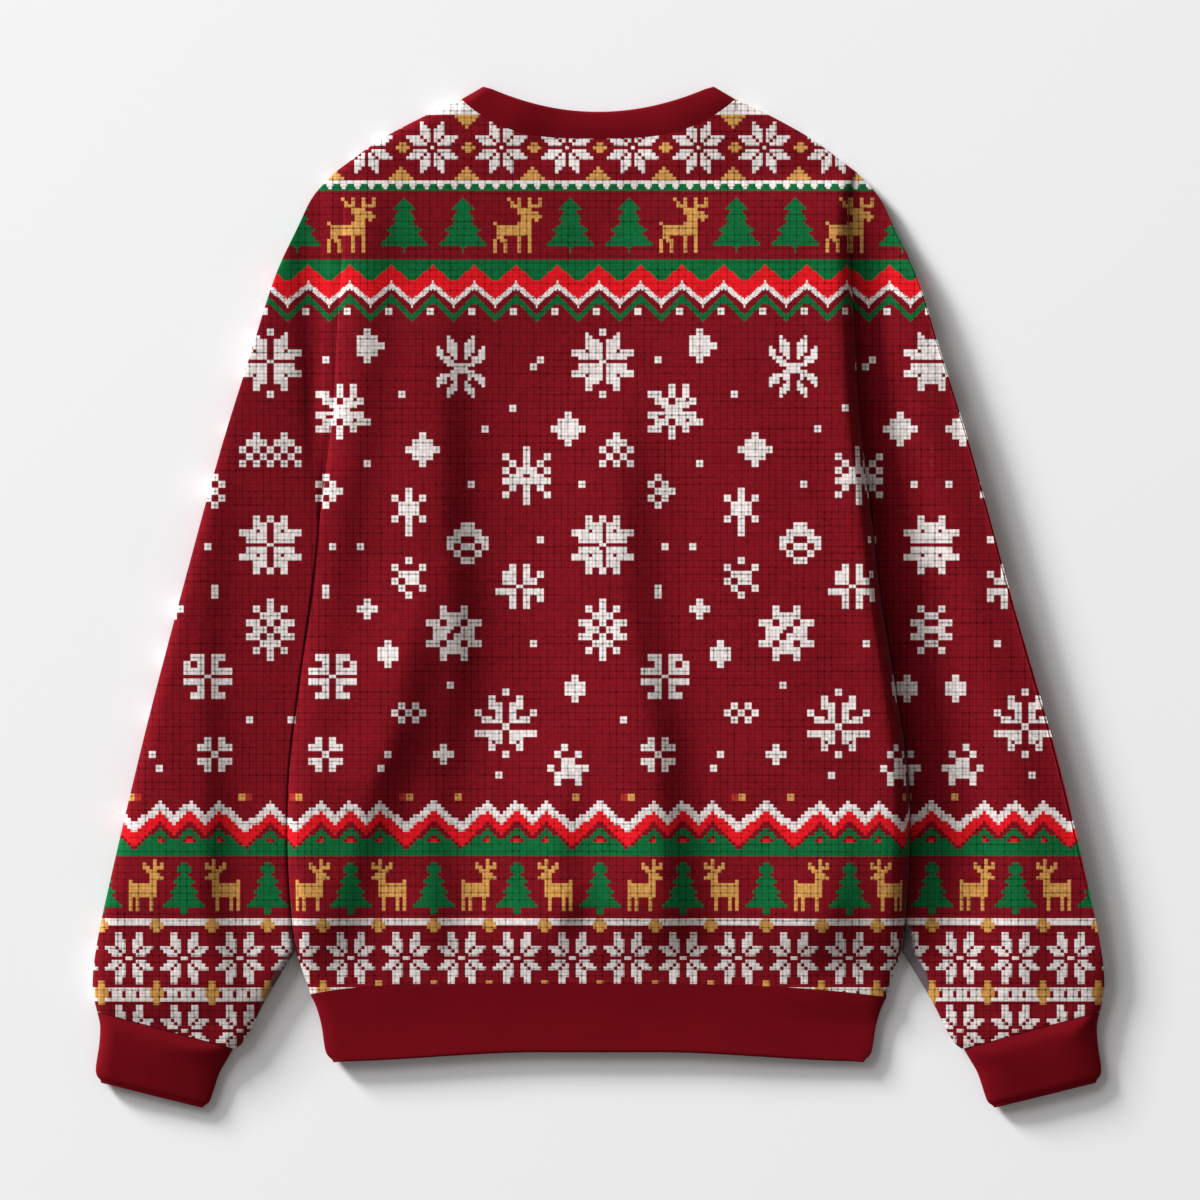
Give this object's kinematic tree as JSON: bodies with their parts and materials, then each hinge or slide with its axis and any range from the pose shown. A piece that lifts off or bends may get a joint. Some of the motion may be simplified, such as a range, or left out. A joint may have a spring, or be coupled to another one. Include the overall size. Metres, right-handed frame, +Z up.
{
  "type": "christmas sweatshirt",
  "caption": "Crew-neck fleece sweatshirt laid flat on its front, with set-in sleeves, plain bands and an all-over winter print.",
  "frame": {"origin": "bottom centre of the bounding box, on the surface under the middle of the garment", "axes": "+Z up from the surface, +Y towards the neck, +X towards the right sleeve as seen from above"},
  "size_m": [0.7486, 0.7555, 0.0276],
  "materials": {
    "printed_fleece": "matte brushed fleece with a woven-look winter print",
    "band_fleece": "smooth plain crimson fleece"
  },
  "bodies": {
    "root": {"back_panel": "printed_fleece", "front_panel": "printed_fleece", "sleeve_left": "printed_fleece", "sleeve_right": "printed_fleece", "neckband": "band_fleece", "hem_band": "band_fleece", "cuff_left": "band_fleece", "cuff_right": "band_fleece"}
  },
  "joints": []
}
